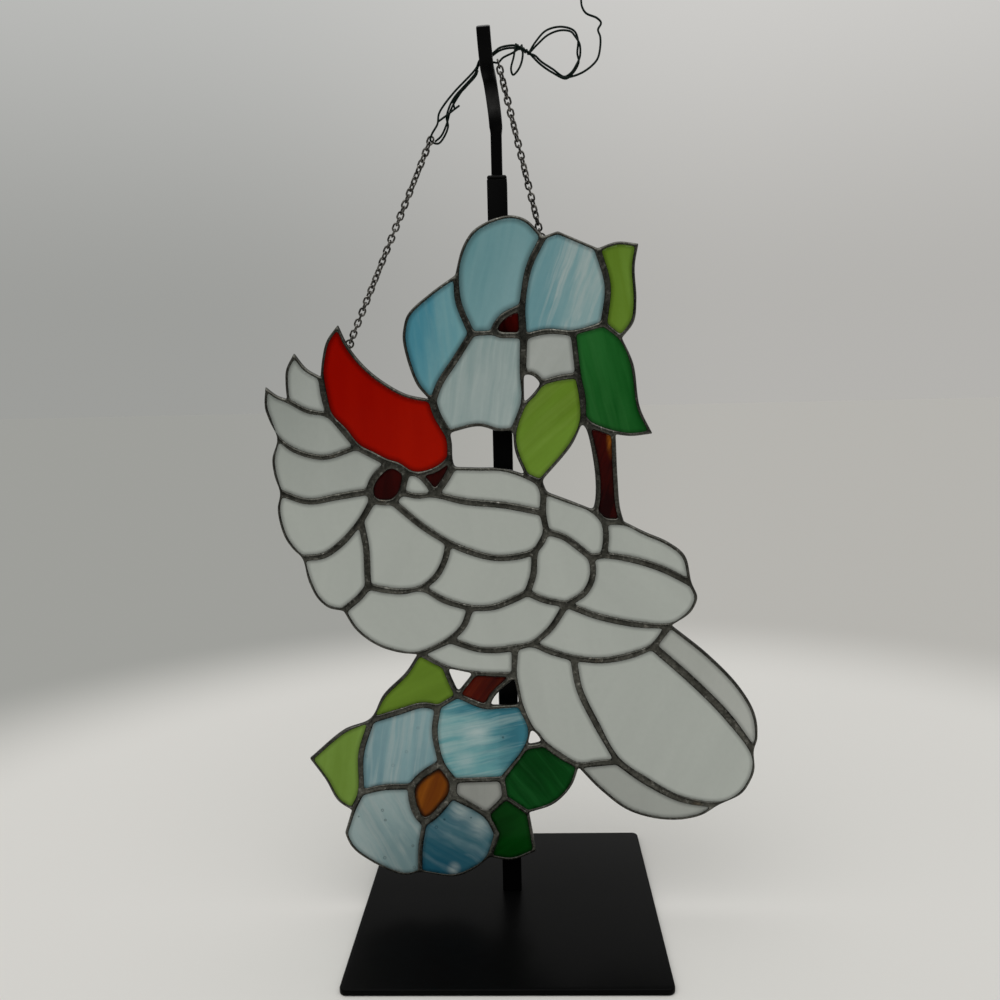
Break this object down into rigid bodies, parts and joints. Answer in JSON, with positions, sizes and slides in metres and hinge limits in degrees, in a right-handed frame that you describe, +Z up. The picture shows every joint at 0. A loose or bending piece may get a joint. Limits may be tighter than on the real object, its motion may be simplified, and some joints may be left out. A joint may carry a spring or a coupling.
{
  "type": "stained glass suncatcher on a display stand",
  "caption": "Flat leaded glass panel of a crested bird between two flowers, hung by chains and wire from a hooked post on a square base.",
  "frame": {"origin": "centre of the base plate's underside, on the surface that it stands on", "axes": "+Z up along the post, +Y towards the back of the stand, from the panel to the post, +X to the viewer's right"},
  "size_m": [0.2481, 0.1524, 0.458],
  "materials": {
    "black_painted_steel": "satin black powder coat with a fine texture",
    "black_plastic": "moulded black plastic, slightly glossy",
    "patinated_solder": "hand-run solder beads under a dark patina, satin, brighter on the crests",
    "black_chain_metal": "blackened cable chain, worn brighter on the bends",
    "green_wire": "dark green enamelled wire, satin",
    "opal_white_glass": "opalescent white sheet glass, glossy",
    "red_orange_glass": "opaque red-orange sheet glass, glossy",
    "garnet_glass": "dark garnet cathedral glass, glossy",
    "sky_blue_streaky_glass": "streaky sky blue and white glass, glossy",
    "pale_blue_streaky_glass": "streaky pale blue and white glass, glossy",
    "deep_blue_streaky_glass": "streaky deep blue and white glass with small bubbles, glossy",
    "wispy_white_glass": "wispy white glass, glossy",
    "light_green_glass": "streaky light green glass, glossy",
    "dark_green_glass": "streaky dark green glass, glossy",
    "amber_glass": "amber cathedral glass, darker at its rim, glossy",
    "brown_red_glass": "mottled brown-red glass with amber flashes, glossy"
  },
  "bodies": {
    "root": {"base_plate": "black_painted_steel", "post_tube": "black_painted_steel", "post_cap": "black_plastic", "hook_rod": "black_painted_steel", "solder_network": "patinated_solder", "glass_back_lower": "opal_white_glass", "glass_back_rear": "opal_white_glass", "glass_back_upper": "opal_white_glass", "glass_beak": "garnet_glass", "glass_belly": "opal_white_glass", "glass_belly_strip": "opal_white_glass", "glass_breast": "opal_white_glass", "glass_cheek": "opal_white_glass", "glass_crest_feather_fifth": "opal_white_glass", "glass_crest_feather_fourth": "opal_white_glass", "glass_crest_feather_second": "opal_white_glass", "glass_crest_feather_small": "opal_white_glass", "glass_crest_feather_third": "opal_white_glass", "glass_crest_red": "red_orange_glass", "glass_eye": "garnet_glass", "glass_lower_flower_centre": "amber_glass", "glass_lower_leaf_bottom": "dark_green_glass", "glass_lower_leaf_left": "light_green_glass", "glass_lower_leaf_right": "dark_green_glass", "glass_lower_leaf_top": "light_green_glass", "glass_lower_petal_lower_left": "pale_blue_streaky_glass", "glass_lower_petal_lower_right": "deep_blue_streaky_glass", "glass_lower_petal_small": "wispy_white_glass", "glass_lower_petal_upper_left": "pale_blue_streaky_glass", "glass_lower_petal_upper_right": "deep_blue_streaky_glass", "glass_lower_stem": "brown_red_glass", "glass_neck": "opal_white_glass", "glass_side": "opal_white_glass", "glass_tail_inner": "opal_white_glass", "glass_tail_main": "opal_white_glass", "glass_tail_outer": "opal_white_glass", "glass_tail_under": "opal_white_glass", "glass_upper_flower_centre": "garnet_glass", "glass_upper_leaf_dark": "dark_green_glass", "glass_upper_leaf_light": "light_green_glass", "glass_upper_leaf_lower": "light_green_glass", "glass_upper_petal_bottom": "pale_blue_streaky_glass", "glass_upper_petal_left": "sky_blue_streaky_glass", "glass_upper_petal_right": "pale_blue_streaky_glass", "glass_upper_petal_small": "wispy_white_glass", "glass_upper_petal_top": "sky_blue_streaky_glass", "glass_upper_stem": "brown_red_glass", "glass_wing_lower": "opal_white_glass", "glass_wing_middle": "opal_white_glass", "glass_wing_small": "opal_white_glass", "glass_wing_upper": "opal_white_glass", "hanging_ring_left": "patinated_solder", "hanging_ring_right": "patinated_solder", "chain_left": "black_chain_metal", "chain_right": "black_chain_metal", "hanger_wire": "green_wire"}
  },
  "joints": []
}
